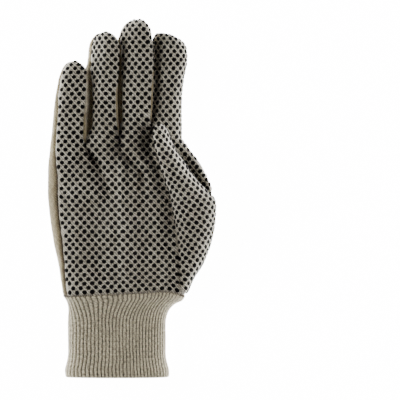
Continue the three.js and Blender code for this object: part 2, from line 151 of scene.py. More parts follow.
# Sections of the palm, as shares of its length, of the finger roots' whole width and of its height.
# Strip is how much of the plain back shows beside the dotted canvas from above, in millimetres.
PALM = dict(
    along=(0, 0.1, 0.22, 0.37, 0.52, 0.65, 0.72, 0.8, 0.89, 0.98, 1.068),
    left=(-0.104, -0.081, -0.06, -0.023, 0.004, 0.018, 0.02, 0.02, 0.019, 0.008, 0),
    right=(0.027, 0.04, 0.068, 0.112, 0.158, 0.212, 0.232, 0.197, 0.147, 0.073, 0),
    height=(0.92, 0.96, 0.99, 1, 1, 0.98, 0.96, 0.92, 0.86, 0.78, 0.72),
    strip=(2.4, 3.0, 4.6, 6.1, 6.8, 7.2, 7.3, 7.0, 5.9, 4.2, 3.6),
)
# Where the valleys below the finger roots lie across the palm, as an angle round its section.
PALM_TURNS = dict(
    along=(0, 1, 2, 3, 4),
    turn=(0, 1.22, 1.61, 2.03, math.pi),
)
# Where the back seam lies between the dotted strip and the plain back, counted in fingers from the
# little finger's outer side.
BACK_SEAM = dict(
    along=(0, 0.22, 0.42, 0.7, 0.9, 1.03, 1.142),
    across=(2.78, 2.62, 2.45, 2.3, 2.3, 2.55, 3),
)
# Sections of the thumb, from its lower end beside the wrist seam to its tip.
THUMB = dict(
    along=(0, 0.08, 0.17, 0.26, 0.34, 0.44, 0.55, 0.61, 0.68, 0.75, 0.84, 0.92, 1),
    centre=(0.017, 0.03, 0.064, 0.087, 0.097, 0.1, 0.087, 0.048, -0.01, -0.056, -0.112, -0.146, -0.161),
    width=(0.16, 0.33, 0.58, 0.72, 0.82, 0.93, 0.99, 0.86, 0.7, 0.59, 0.46, 0.385, 0.38),
    rise=(0.44, 0.46, 0.52, 0.6, 0.69, 0.83, 0.99, 1.07, 1.14, 1.18, 1.18, 1.15, 1.12),
    height=(0.6, 0.8, 0.96, 1.04, 1.04, 0.98, 0.88, 0.82, 0.76, 0.72, 0.68, 0.64, 0.6),
)
# Sections of the knit wrist, from the seam to the open end.
KNIT = dict(
    along=(0, 0.06, 0.13, 0.2, 0.29, 0.4, 0.72, 0.82, 0.93, 1),
    left=(-0.512, -0.492, -0.487, -0.493, -0.497, -0.498, -0.498, -0.508, -0.527, -0.522),
    right=(0.672, 0.65, 0.585, 0.54, 0.51, 0.502, 0.502, 0.512, 0.533, 0.535),
    height=(1, 0.99, 0.97, 0.95, 0.94, 0.94, 0.96, 0.98, 1, 1),
)
# How far the wrist seam runs off the straight, across the hand from its outer side, in millimetres.
WRIST_LINE = dict(
    along=(0, 0.35, 0.6, 0.84, 0.93, 1),
    rise=(-0.8, 0.4, 1.7, 2.6, 1.2, -1.2),
)
# Folds of the palm side. X is a share of the roots' whole width, y a share of the palm's length, and
# depth and reach are in millimetres, with a negative depth for a swelling.
FOLDS = table(
    "x1 y1 x2 y2 reach depth fade",
    (0.3, 0.99, 0.44, 0.67, 5.6, 9.5, 0.5),
    (0.36, 0.95, 0.475, 0.7, 3.6, 4.4, 0.5),
    (0.55, 0.93, 0.56, 0.1, 2.8, -3.2, 0.5),
    (0.585, 0.96, 0.7, 0.83, 3.0, 5.0, 0.1),
    (0.71, 0.8, 0.69, 0.6, 3.4, 3.2, 0.5),
    (0.75, 1.0, 0.84, 0.8, 2.6, 2.0, 0.1),
    (0.64, 0.9, 0.74, 0.7, 2.6, -0.8, 0.6),
    (0.86, 0.85, 0.93, 0.5, 6, 0.9, 0.3),
    (0.94, 1.05, 1.17, 0.7, 5.0, 8.0, 0.1),
    (0.34, 0.6, 0.38, 0.1, 8, 4.8, 0.2),
    (0.7, 0.6, 0.7, 0.1, 6, 3.4, 0.2),
    (0.655, 0.45, 0.66, 0.06, 2.2, 0.8, 0.2),
    (0.9, 0.5, 0.9, 0.06, 4.4, 2.6, 0.2),
    (0.2, 0.7, 0.22, 0.1, 6, -1.0, 0.6),
)

# The raised dots: a centred lattice on the cloth.
DOT_PITCH_ACROSS = 5.6 * MM
DOT_PITCH_ALONG = 6.2 * MM
DOT_RADIUS = 1.57 * MM
DOT_HEIGHT = 0.6 * MM
DOT_SIDES = 12
DOT_ROOM = 0.75 * MM
DOT_SCATTER, DOT_SPREAD, DOT_WOBBLE = 0.09, 0.045, 0.035
# Rings of a dot from its foot up, as shares of its radius and height.
DOT_RINGS = [(1.0, -0.25), (0.95, 0.45), (0.72, 0.88)]

# The overcast thread at the wrist seam.
STITCHES_ON_PALM, STITCHES_ON_BACK = 64, 44
STITCH_RADIUS = 0.22 * MM
STITCH_SCATTER = 0.15

# Relief of the cloth, heights in millimetres. Each wave is a ripple whose lattice is tilted by
# shares of the height above the floor.
WAVES = table(
    "height across along down size seed",
    (0.75, 0.7, 0.7, -0.5, 17, 3),
    (0.42, -0.6, 0.8, 0.4, 8, 4),
    (0.11, 0.5, 1, -0.3, 4, 5),
)
PUCKER, PUCKER_SIZE, PUCKER_REACH = 0.55, 3.6 * MM, 3.5 * MM
GATHER, GATHER_PITCH, GATHER_REACH = 0.4, 7.2 * MM, 8 * MM
TURN_IN_REACH = 1.35 * MM
CROTCH_REACH = 7 * MM
FLOOR_EASE = 0.9 * MM
# Reach of the edge darkening, partly wear and partly painted shade, and the length over which it eases
# off the palm.
EDGE_WEAR_AND_SHADE_REACH, EDGE_WEAR_AND_SHADE_FADE = 2.4 * MM, 8 * MM
SIDE_REACH = 9 * MM
WRIST_LINE_REACH = 16 * MM
THUMB_LIMIT = 1.6 * MM
PALM_LIMIT = 2.4 * MM

# Mesh density.
LOBE_STEPS = 26
PALM_ROWS = 96
FINGER_ROWS = 70
TIP_ROWS = 16
THUMB_STEPS = 72
THUMB_GRID_ROWS = 104
KNIT_ROWS = 64
KNIT_INSIDE_ROWS = 24
LIP_ROWS = 8
RIB_SIDES = 8
SECTION_STEPS = 1500
RIPPLE_CELLS = 64


def column(sections, name, at):
    """A value of the sections at places along them, on a smooth curve through the given ones."""
    places, values = np.array(sections["along"], float), np.array(sections[name], float)
    last = len(places) - 1
    order = np.arange(len(places))
    before, after = np.maximum(order - 1, 0), np.minimum(order + 1, last)
    slopes = (values[after] - values[before]) / (places[after] - places[before])
    at = np.asarray(at, float)
    i = np.clip(np.searchsorted(places, at, side="right") - 1, 0, last - 1)
    span = places[i + 1] - places[i]
    t = np.clip((at - places[i]) / span, 0, 1)
    rest = 1 - t
    return (
        values[i] * (1 + 2 * t) * rest**2
        + slopes[i] * span * t * rest**2
        + values[i + 1] * t * t * (3 - 2 * t)
        - slopes[i + 1] * span * t * t * rest
    )


def smooth(t):
    """0 to 1 with level ends."""
    t = np.clip(t, 0, 1)
    return t * t * (3 - 2 * t)


def mix(a, b, t):
    return a + (b - a) * t


def ripple(u, v, size, seed):
    """Smooth random waves of about one, on a lattice of the given size."""
    grid = np.random.default_rng(seed).uniform(-1, 1, (RIPPLE_CELLS, RIPPLE_CELLS))
    x, y = np.asarray(u) / size + 31.3, np.asarray(v) / size + 17.9
    i, j = np.floor(x).astype(int), np.floor(y).astype(int)
    s, t = smooth(x - i), smooth(y - j)

    def pick(a, b):
        return grid[a % RIPPLE_CELLS, b % RIPPLE_CELLS]

    low = mix(pick(i, j), pick(i + 1, j), s)
    high = mix(pick(i, j + 1), pick(i + 1, j + 1), s)
    return mix(low, high, t)


def settled(points):
    """Points moved along the hand with the wrist seam's uneven line."""
    left, right = float(palm_left(0)), float(palm_right(0))
    rise = column(WRIST_LINE, "rise", np.clip((points[:, 0] - left) / (right - left), 0, 1)) * MM
    moved = points.copy()
    moved[:, 1] += rise * np.exp(-((points[:, 1] / WRIST_LINE_REACH) ** 2))
    return moved


# Places of the finger roots, worked out from the fingers' own widths.
ROOT_LEFT, ROOT_RIGHT = [], []
place = 0.0
for finger in FINGERS:
    ROOT_LEFT.append(place)
    place += finger["width"] * MM
    ROOT_RIGHT.append(place)
    place += FINGER_GAP
ROOTS_WIDTH = ROOT_RIGHT[-1]
PARTINGS = [0.0] + [(ROOT_RIGHT[k] + ROOT_LEFT[k + 1]) / 2 for k in range(3)] + [ROOTS_WIDTH]


def crotch_y(across):
    return PALM_LENGTH * np.interp(across, range(5), CROTCHES)


def palm_left(y):
    return -ROOTS_WIDTH * column(PALM, "left", y / PALM_LENGTH)


def palm_right(y):
    return ROOTS_WIDTH * (1 + column(PALM, "right", y / PALM_LENGTH))


def palm_section(y):
    """Left and right end of the palm's section, its height and the height of its side seams."""
    height = PALM_HEIGHT * column(PALM, "height", y / PALM_LENGTH)
    return palm_left(y), palm_right(y), height, height * SEAM_SHARE


# The part's origin is the middle of its box, on the floor.
SHIFT = np.array(
    [
        CAD_BOX[0][0] - palm_left(np.linspace(0, PALM_LENGTH, 400)).min(),
        CAD_BOX[0][1] + KNIT_LENGTH,
        0.0,
    ]
)


def fold_depth(x, y):
    """Depth of the folds at places on the palm side."""
    depth = np.zeros(np.broadcast(x, y).shape)
    for fold in FOLDS:
        ax, ay = fold["x1"] * ROOTS_WIDTH, fold["y1"] * PALM_LENGTH
        dx, dy = fold["x2"] * ROOTS_WIDTH - ax, fold["y2"] * PALM_LENGTH - ay
        t = np.clip(((x - ax) * dx + (y - ay) * dy) / (dx * dx + dy * dy), 0, 1)
        away = np.hypot(x - ax - t * dx, y - ay - t * dy) / (fold["reach"] * MM)
        depth += fold["depth"] * MM * np.exp(-(away**2)) * (1 - fold["fade"] * t)
    return depth


def palm_points(across, share, side):
    """Points of the palm's skin. Across counts fingers, share runs from the wrist to the crotches."""
    crotch = crotch_y(across)
    y = crotch * share
    left, right, height, seam = palm_section(y)
    turn = np.where(side > 0, column(PALM_TURNS, "turn", across), np.pi * across / 4)
    bulge = np.where(side > 0, height - seam, seam * BACK_BULGE)
    oval_x = (left + right) / 2 - (right - left) / 2 * np.cos(turn)
    oval_z = bulge * np.maximum(np.sin(turn), 0) ** SECTION_POWER
    i = np.clip(np.floor(across).astype(int), 0, 3)
    zero = np.zeros_like(y)
    edges = np.stack([left] + [zero + p for p in PARTINGS[1:4]] + [right])
    low = np.take_along_axis(edges, i[None], 0)[0]
    high = np.take_along_axis(edges, i[None] + 1, 0)[0]
    swing = ((across - i) * 2 - 1) * np.pi / 2
    heights = np.array([finger["height"] * MM for finger in FINGERS])[i]
    lobe_rise = np.where(side > 0, heights - FINGER_SEAM, FINGER_SEAM * BACK_BULGE)
    lobe_x = (low + high) / 2 + (high - low) / 2 * np.sin(swing)
    lobe_z = lobe_rise * np.maximum(np.cos(swing), 0)
    groove = np.cos(np.pi * (across - np.round(across))) ** 2
    near = np.where((across < 0.5) | (across > 3.5), 0, groove)
    back = np.clip((crotch - y) / GROOVE_LENGTH, 0, 1)
    opened = mix(smooth(back), np.sin(np.pi / 2 * back**0.8), near)
    x = mix(lobe_x, oval_x, opened)
    z = mix(FINGER_SEAM + zero, seam, opened) + side * mix(lobe_z, oval_z, opened)
    folds = fold_depth(x, y) * np.minimum(1, 2.2 * np.sin(turn)) * np.minimum(1, 2.2 * opened)
    z = z - np.where(side > 0, folds, 0)
    return np.stack([x, y, z], -1)


def tip_share(y, tip, round_length, square):
    """Share of the full width that is left at places in the rounded tip."""
    t = np.clip((y - (tip - round_length)) / round_length, 0, 1)
    return np.maximum(1 - t**square, 0) ** (1 / square)


def tube_y(step, rows, start, tip, round_length):
    """Places along a finger or the thumb: even rows, then closer ones round the tip."""
    straight = mix(start, tip - round_length, step / rows)
    turned = mix(tip - round_length, tip, np.sin((step - rows) / TIP_ROWS * np.pi / 2))
    return np.where(step > rows, turned, straight)


def finger_plan(i, y):
    """Middle, half width and tip closing of a finger seen from above, and where its tip ends."""
    finger = FINGERS[i]
    shape = FINGER_SHAPES[finger["name"]]
    length, width, round_length = (finger[k] * MM for k in ("length", "width", "round"))
    start = (crotch_y(i) + crotch_y(i + 1)) / 2
    tip = start + length
    closing = tip_share(y, tip, round_length, finger["square"])
    centre = (ROOT_LEFT[i] + ROOT_RIGHT[i]) / 2 + width * column(shape, "centre", (y - start) / length)
    half = width * column(shape, "width", (y - start) / length) / 2 * closing
    return centre, half, closing, tip


def opening_after(i, y, root):
    """How far a finger is from the next one, beside both of them."""
    centre, half, _, tip = finger_plan(i, y)
    next_centre, next_half, _, next_tip = finger_plan(i + 1, y)
    gap = np.maximum(next_centre - next_half - centre - half, 0)
    below_tip = smooth((min(tip, next_tip) - y - OPENING_END) / OPENING_FADE)
    return gap * smooth((y - root) / PART_START) * below_tip


def finger_points(i, across, step):
    """Points of a finger's skin. Across runs from -1 to 1 over the front and on to 3 round the back."""
    across = np.where(across > 3, across - 4, across)
    finger = FINGERS[i]
    round_length = finger["round"] * MM
    tip = finger_plan(i, 0.0)[3]
    folded = np.where(across > 1, 2 - across, across)
    side = np.where(across > 1, -1, 1)
    root = crotch_y(i + (folded + 1) / 2)
    y = tube_y(step, FINGER_ROWS, root, tip, round_length)
    centre, half, closing, _ = finger_plan(i, y)
    rise = np.where(side > 0, finger["height"] * MM - FINGER_SEAM, FINGER_SEAM * BACK_BULGE)
    swing = folded * np.pi / 2
    slope = np.clip(1 - (tip - y) / (2.5 * round_length), 0, 1) * closing
    x = centre + half * np.sin(swing)
    if i == 0:
        stand_out = palm_left(crotch_y(0)) * (1 - smooth((y - root) / LEAN_START))
        x = x + stand_out * np.clip(0.5 - np.sin(swing) / 2, 0, 1)
    z = FINGER_SEAM + side * rise * np.sqrt(closing) * np.cos(swing)
    inner, outer = np.maximum(np.sin(swing), 0), np.maximum(-np.sin(swing), 0)
    started = smooth((y - root) / LEAN_START)
    if i < 3:
        x = x + opening_after(i, y, root) * INNER_FILLS * inner**1.5
        z = z + FINGER_LEAN * started * closing * inner ** (1.8 if i == 0 else 1.2)
    if i > 0:
        lap = FINGER_LAP * smooth((y - root) / PART_START) * closing
        x = x - (opening_after(i - 1, y, root) * OUTER_FILLS + lap) * outer**1.5
        z = z - FINGER_DROPS[i] * started * closing * outer**0.8
    return np.stack([x, y - finger["slant"] * MM * slope * np.sin(swing), z], -1)


def grid_quads(ids):
    """Faces between the rows and columns of a grid of point numbers."""
    return np.stack([ids[:-1, :-1], ids[:-1, 1:], ids[1:, 1:], ids[1:, :-1]], -1).reshape(-1, 4)


def polygons(faces):
    """Faces as lists of corners, without the corners that fall together at a tip."""
    kept = []
    for face in faces.tolist():
        corners = [c for k, c in enumerate(face) if c != face[k - 1]]
        if len(corners) > 2:
            kept.append(corners)
    return kept


def running(steps):
    """Running total of the steps, from nought."""
    return np.concatenate([[0], np.cumsum(steps)])


def from_column(steps, middle):
    """Running totals along the rows of a grid of steps, counted from its middle column."""
    far = np.concatenate([np.zeros((len(steps), 1)), np.cumsum(steps, axis=1)], axis=1)
    return far - far[:, middle : middle + 1]


class Sheet:
    """One piece of cloth: points with a place on the flat cloth, in grids that share rows."""

    def __init__(self):
        self.points, self.flat, self.faces = [], [], []
        self.count = 0

    def add(self, points, flat):
        ids = self.count + np.arange(points.shape[0] * points.shape[1]).reshape(points.shape[:2])
        self.points.append(points.reshape(-1, 3))
        self.flat.append(flat.reshape(-1, 2))
        self.count += ids.size
        return ids

    def fill(self, ids):
        self.faces.append(grid_quads(ids))

    def whole(self):
        """Points, their flat places, and faces."""
        return tuple(np.concatenate(part) for part in (self.points, self.flat, self.faces))


def corner_normals(points, faces):
    """Normals of the points, from the faces around them."""
    a, b, c, d = (points[faces[:, k]] for k in range(4))
    face_normals = np.cross(c - a, d - b)
    normals = np.zeros_like(points)
    for k in range(4):
        np.add.at(normals, faces[:, k], face_normals)
    length = np.linalg.norm(normals, axis=1, keepdims=True)
    return normals / np.maximum(length, 1e-12)


def border_edges(faces):
    """Edges with a face on one side only, in that face's order."""
    edges = np.concatenate([faces[:, [k, (k + 1) % 4]] for k in range(4)])
    edges = edges[edges[:, 0] != edges[:, 1]]
    first, second = edges.astype(np.int64).T
    many = int(edges.max()) + 1
    return edges[~np.isin(first * many + second, second * many + first)]


def distance_to(points, marks):
    """How far each point is from the nearest of the marks."""
    tree = KDTree(len(marks))
    for k, mark in enumerate(marks):
        tree.insert(mark, k)
    tree.balance()
    return np.array([tree.find(p)[2] for p in points])


def dressed(points, faces):
    """Cloth relief: soft waves, puckers along the seams, edges turned in. Also the edge distance."""
    normals = corner_normals(points, faces)
    away = distance_to(points, points[np.unique(border_edges(faces))])
    x, y, z = points.T
    waves = 0
    for wave in WAVES:
        u, v = x + wave["across"] * z, y * wave["along"] + wave["down"] * z
        waves = waves + wave["height"] * ripple(u, v, wave["size"] * MM, wave["seed"])
    calm = 0.35 + 0.65 * np.abs(normals[:, 2])
    pucker = PUCKER * ripple(x + z, y - z, PUCKER_SIZE, 6) * np.exp(-away / PUCKER_REACH)
    gather_phase = 2 * np.pi * x / GATHER_PITCH + 2.6 * ripple(x, y, 12 * MM, 7)
    gather = GATHER * np.sin(gather_phase) * np.exp(-np.maximum(y, 0) / GATHER_REACH)
    turned_in = (0.4 + 0.75 * np.abs(normals[:, 2])) * np.exp(-((away / TURN_IN_REACH) ** 2))
    for k in (1, 2, 3):
        from_crotch = np.hypot(x - PARTINGS[k], y - crotch_y(k)) / CROTCH_REACH
        turned_in *= 0.2 + 0.8 * smooth(from_crotch)
    moved = points + normals * (waves * calm + pucker + gather - turned_in)[:, None] * MM
    moved[:, 2] = 0.5 * (moved[:, 2] + np.hypot(moved[:, 2], FLOOR_EASE))
    return moved, corner_normals(moved, faces), away


def mesh_piece(name, points, faces, material, flat=None, attributes=()):
    """A smooth mesh riding on the body, with places on the flat cloth and values at its points."""
    mesh = bpy.data.meshes.new(name)
    mesh.from_pydata(points.tolist(), [], faces)
    mesh.validate()
    if flat is not None:
        layer = mesh.uv_layers.new(name="cloth")
        loops = np.zeros(len(mesh.loops), np.int32)
        mesh.loops.foreach_get("vertex_index", loops)
        layer.data.foreach_set("uv", flat[loops].astype(np.float32).ravel())
    for key, values in attributes:
        attribute = mesh.attributes.new(key, "FLOAT", "POINT")
        attribute.data.foreach_set("value", values.astype(np.float32))
    mesh.materials.append(material)
    mesh.polygons.foreach_set("use_smooth", np.ones(len(mesh.polygons), bool))
    piece = bpy.data.objects.new(name, mesh)
    bpy.context.collection.objects.link(piece)
    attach(piece, "root")
    return piece


def cloth_piece(name, points, normals, flat, faces, away, material):
    """A canvas piece from its dressed outer points, as a closed wall."""
    inner = points - normals * WALL
    inner[:, 2] = np.maximum(inner[:, 2], WALL)
    outer = points.copy()
    outer[:, 2] = np.maximum(outer[:, 2], 0)
    # The edge value darkens the cloth near its borders and seams, most on the palm: partly wear, partly
    # painted shade for the shadow at the seams and under the overhanging dotted canvas.
    on_palm = smooth((PALM_LENGTH - points[:, 1]) / EDGE_WEAR_AND_SHADE_FADE)
    grime_and_shade = np.exp(-away / EDGE_WEAR_AND_SHADE_REACH) * mix(0.3, 1, on_palm)
    count = len(outer)
    edges = border_edges(faces)
    rim = np.stack([edges[:, 1], edges[:, 0], edges[:, 0] + count, edges[:, 1] + count], -1)
    every = polygons(np.concatenate([faces, faces[:, ::-1] + count, rim]))
    both = settled(np.concatenate([outer, inner])) + SHIFT
    values = [("edge", np.concatenate([grime_and_shade, grime_and_shade]))]
    return mesh_piece(name, both, every, material, np.concatenate([flat, flat]), values)


def along_rows(points, middle):
    """Distance along each row of a grid from its middle column."""
    return from_column(np.linalg.norm(np.diff(points, axis=1), axis=2), middle)


def eased(values, rows):
    """Values of a grid, evened out along its length."""
    weights = np.exp(-0.5 * (np.arange(-3 * rows, 3 * rows + 1) / rows) ** 2)
    weights /= weights.sum()
    padded = np.concatenate([values[:1]] * (3 * rows) + [values] + [values[-1:]] * (3 * rows))
    return np.stack([np.convolve(padded[:, k], weights, "valid") for k in range(values.shape[1])], 1)


def cloth_across(points, side, shares, middle):
    """Place across the flat cloth at the points of a palm grid, from its middle column.

    Over the palm and the back it is the length along the hand's plain section, without its lobes, so
    that the weave runs straight there. Round the hand's sides it is the true length.
    """
    turn = np.linspace(0, np.pi, 181)
    over_palm, over_back = np.zeros(points.shape[:2]), np.zeros(points.shape[:2])
    edge = np.zeros(points.shape[:2])
    for row, share in enumerate(shares.ravel()):
        left, right, height, seam = palm_section(share * crotch_y(2))
        x = (left + right) / 2 - (right - left) / 2 * np.cos(turn)
        rise = np.sin(turn) ** SECTION_POWER
        front, back = (height - seam) * rise, np.minimum(seam * rise * 1.1, seam)
        for rises, kept in ((front, over_palm), (back, over_back)):
            run = running(np.hypot(np.diff(x), np.diff(rises)))
            kept[row] = np.interp(points[row, :, 0], x, run)
        edge[row] = np.minimum(points[row, :, 0] - left, right - points[row, :, 0])
    plain_step = np.abs(np.diff(np.where(side > 0, over_palm, over_back), axis=1))
    true_step = np.linalg.norm(np.diff(points, axis=1), axis=2)
    near = smooth(1.35 - (edge[:, 1:] + edge[:, :-1]) / 2 / SIDE_REACH)
    turning = side[:, 1:] != side[:, :-1]
    steps = np.where(turning, true_step, mix(plain_step, true_step, near))
    return eased(from_column(steps, middle), 4)


def spread(count):
    """Shares from nought to one in even steps, as a row of a grid."""
    return np.linspace(0, 1, count + 1)[None, :]


def plain_edge(shares):
    """Where the plain back ends on the palm side, counted in fingers from the outer side."""
    tries = np.linspace(0, 0.9, 181)
    edges = []
    for share in shares.ravel():
        row = palm_points(tries, share + 0 * tries, 1 + 0 * tries)
        width = column(PALM, "strip", share * crotch_y(0.2) / PALM_LENGTH) * MM
        edges.append(np.interp(width, row[:, 0] - row[0, 0], tries))
    return np.array(edges).reshape(shares.shape)


# Rows of the palm as shares of its length, closer together towards the fingers, and where the
# plain back ends on the palm side and the back seam lies on them.
ROWS = (1 - (1 - np.linspace(0, 1, PALM_ROWS + 1)) ** 1.25)[:, None]
PLAIN_EDGE = plain_edge(ROWS)
SEAM_ACROSS = column(BACK_SEAM, "across", ROWS * crotch_y(3) / PALM_LENGTH)
# How far the plain back reaches on the palm side at the crotch, across the little finger.
EDGE_START = 2 * PLAIN_EDGE[-1, 0] - 1


def finger_flat(i, points, across, root_flat, steps, reference):
    """Flat places of a finger's grid, measured across and along from a line down its front or back."""
    far = along_rows(points, 0)
    from_line = np.stack([row - np.interp(reference, at, row) for row, at in zip(far, across)])
    root_line = np.interp(reference, across[0], root_flat[:, 0])
    amiss = root_flat[:, 0] - root_line - from_line[0]
    fading = 1 - smooth(np.arange(len(points)) / 22)
    eased_in = np.stack([np.interp(at, across[0], amiss) * f for at, f in zip(across, fading)])
    line = finger_points(i, reference + 0 * steps, steps)[:, 0]
    run = running(np.linalg.norm(np.diff(line, axis=0), axis=1))
    extra = run - (line[:, 1] - line[0, 1])
    return np.stack([root_line + from_line + eased_in, points[..., 1] + extra[:, None]], -1)


def side_seam(i, steps):
    """Where the seam lies at a finger's outer side, from the crotch to the tip."""
    strip = SEAMS[i]["strip"] / 90
    share = steps / FINGER_ROWS
    rising = smooth(share / 0.25) if i in (1, 2) else 1
    if i == 0:
        strip = mix(EDGE_START + 1, strip, smooth(share / 0.3))
    return -1 + strip * rising * (1 - (1 - SEAMS[i]["kept"]) * smooth((share - 0.45) / 0.7))


def inner_seam(i, steps):
    """Where the seam lies at a finger's inner side, where the back turns in over the front."""
    share = steps / FINGER_ROWS
    return 1 - SEAMS[i]["turn_in"] / 90 * smooth(share / 0.12) * (1 - smooth((share - 0.4) / 0.35))


def add_finger(sheet, i, across_at, root, reference):
    """One finger's grid on a sheet, from the palm's last row, its root, to the tip."""
    root_ids, root_points, root_flat = root
    steps = np.arange(FINGER_ROWS + TIP_ROWS + 1, dtype=float)[:, None]
    across = across_at(steps)
    points = finger_points(i, across, steps)
    points[0] = root_points
    flat = finger_flat(i, points, across, root_flat, steps, reference)
    flat[0] = root_flat
    ids = sheet.add(points, flat)
    ids[0] = root_ids
    ids[-1] = ids[-1, 0]
    sheet.fill(ids)
    return ids


def palm_grid(across, side, middle):
    """Points of a palm grid, and their places across the flat cloth."""
    points = palm_points(across, ROWS + 0 * across, side)
    return points, cloth_across(points, side, ROWS, middle)


def dotted_sheet():
    """The dotted canvas: palm, finger fronts, the whole forefinger and the strip down the back."""
    sheet = Sheet()
    n = LOBE_STEPS
    front = np.concatenate(
        [mix(PLAIN_EDGE, 1, spread(n))]
        + [np.broadcast_to(np.linspace(k, k + 1, n + 1)[1:], (len(ROWS), n)) for k in (1, 2, 3)],
        axis=1,
    )
    back = mix(4, SEAM_ACROSS, spread(n))
    side = np.concatenate([np.ones_like(front), -np.ones_like(back)], axis=1)
    middle = 2 * n
    points, run = palm_grid(np.concatenate([front, back], axis=1), side, middle)
    run = run + points[:, middle : middle + 1, 0]
    # The strip down the back has its own run of the cloth, level with the palm's at the crotch.
    turned = 4 * n + 1
    strip = along_rows(points[:, turned:], 0)
    start = run[-1, turned - 1] + points[-1, turned, 0] - points[:, turned, 0]
    run[:, turned:] = eased(start[:, None] + strip, 4)
    run[-1, turned:] = start[-1] + strip[-1]
    flat = np.stack([run, points[..., 1]], -1)
    ids = sheet.add(points, flat)
    ids[-1, turned] = ids[-1, turned - 1]
    sheet.fill(ids)
    grids = [ids[:, :turned], ids[:, turned:]]
    for i in range(4):
        count = n if i < 3 else 2 * n
        part = [k + (k > 4 * n) for k in range(i * n, i * n + count + 1)]

        def across_at(steps, i=i):
            if i == 3:
                return np.linspace(-1, 3, 2 * n + 1)[None, :] + 0 * steps
            return mix(side_seam(i, steps), inner_seam(i, steps), spread(n))

        root = (ids[-1, part], points[-1, part], flat[-1, part])
        grids.append(add_finger(sheet, i, across_at, root, 0.0))
    return sheet, grids


def plain_sheet():
    """The plain canvas: the backs of three fingers and of the hand, and the strip round its side."""
    sheet = Sheet()
    n = LOBE_STEPS
    wrap = n // 2
    back = SEAM_ACROSS * np.linspace(1, 0, 3 * n + 1)[None, :]
    front = PLAIN_EDGE * spread(wrap)[:, 1:]
    side = np.concatenate([-np.ones_like(back), np.ones_like(front)], axis=1)
    points, run = palm_grid(np.concatenate([back, front], axis=1), side, n + n // 2)
    flat = np.stack([run, points[..., 1]], -1)
    ids = sheet.add(points, flat)
    sheet.fill(ids)
    for i in (2, 1, 0):
        first = (2 - i) * n
        part = slice(first, first + (n if i else n + wrap) + 1)

        def across_at(steps, i=i):
            last = side_seam(i, steps) + 4
            if i:
                return mix(inner_seam(i, steps), last, spread(n))
            round_back = mix(inner_seam(i, steps), 3, spread(n))
            return np.concatenate([round_back, mix(3, last, spread(wrap)[:, 1:])], axis=1)

        add_finger(sheet, i, across_at, (ids[-1, part], points[-1, part], flat[-1, part]), 2.0)
    return sheet


def thumb_points(turn, step):
    """Points of the thumb's skin. Turn goes round from its underside, step counts rows."""
    start = THUMB_START * PALM_LENGTH
    tip = start + THUMB_LENGTH
    y = tube_y(step, THUMB_GRID_ROWS, start, tip, THUMB_ROUND)
    at = (y - start) / THUMB_LENGTH
    closing = tip_share(y, tip, THUMB_ROUND, THUMB_SQUARE)
    centre = ROOTS_WIDTH * (1 + column(THUMB, "centre", at))
    half = THUMB_WIDTH * column(THUMB, "width", at) / 2 * closing
    rise = THUMB_HEIGHT * column(THUMB, "height", at) / 2 * np.sqrt(closing)
    middle = PALM_HEIGHT * column(THUMB, "rise", at)
    crease = THUMB_CREASE * np.exp(-(((y - THUMB_CREASE_AT) / THUMB_CREASE_REACH) ** 2))
    bend = 1 - crease * np.maximum(np.sin(turn), 0)
    x = centre + half * np.cos(turn)
    lean = THUMB_LEAN * smooth((at - 0.42) / 0.25) * closing
    z = middle + rise * np.sin(turn) * bend - lean * np.cos(turn)
    return np.stack([x, y + 0 * turn, z], -1)


def thumb_sheet():
    """The thumb's canvas as one grid, joined by its seam on the underside."""
    sheet = Sheet()
    turn = np.linspace(-np.pi / 2, 3 * np.pi / 2, THUMB_STEPS + 1)[None, ::-1]
    step = np.arange(THUMB_GRID_ROWS + TIP_ROWS + 1, dtype=float)[:, None]
    points = thumb_points(turn + 0 * step, step + 0 * turn)
    middle = THUMB_STEPS // 2
    line = points[:, middle]
    across = along_rows(points, middle) + line[:, :1]
    run = running(np.linalg.norm(np.diff(line[:, 1:], axis=0), axis=1))
    flat = np.stack([across, run[:, None] + 0 * across], -1)
    c, s = math.cos(THUMB_TILT), math.sin(THUMB_TILT)
    flat = np.stack([flat[..., 0] * c + flat[..., 1] * s, flat[..., 1] * c - flat[..., 0] * s], -1)
    ids = sheet.add(points, flat)
    ids[-1] = ids[-1, 0]
    sheet.fill(ids)
    return sheet, ids


def tree_of(points, faces):
    """A search tree over a sheet's faces."""
    return BVHTree.FromPolygons(points.tolist(), polygons(faces))


def depth_inside(points, tree):
    """How deep points lie under a closed skin, with outside below zero."""
    depth = np.zeros(len(points))
    for k, p in enumerate(points):
        place, normal, _, far = tree.find_nearest(p)
        depth[k] = far if (Vector(p) - place).dot(normal) < 0 else -far
    return depth


def keep_outside(faces, depth, limit):
    """Faces with a corner that is less deep than the limit."""
    return faces[(depth[faces] < limit).any(axis=1)]


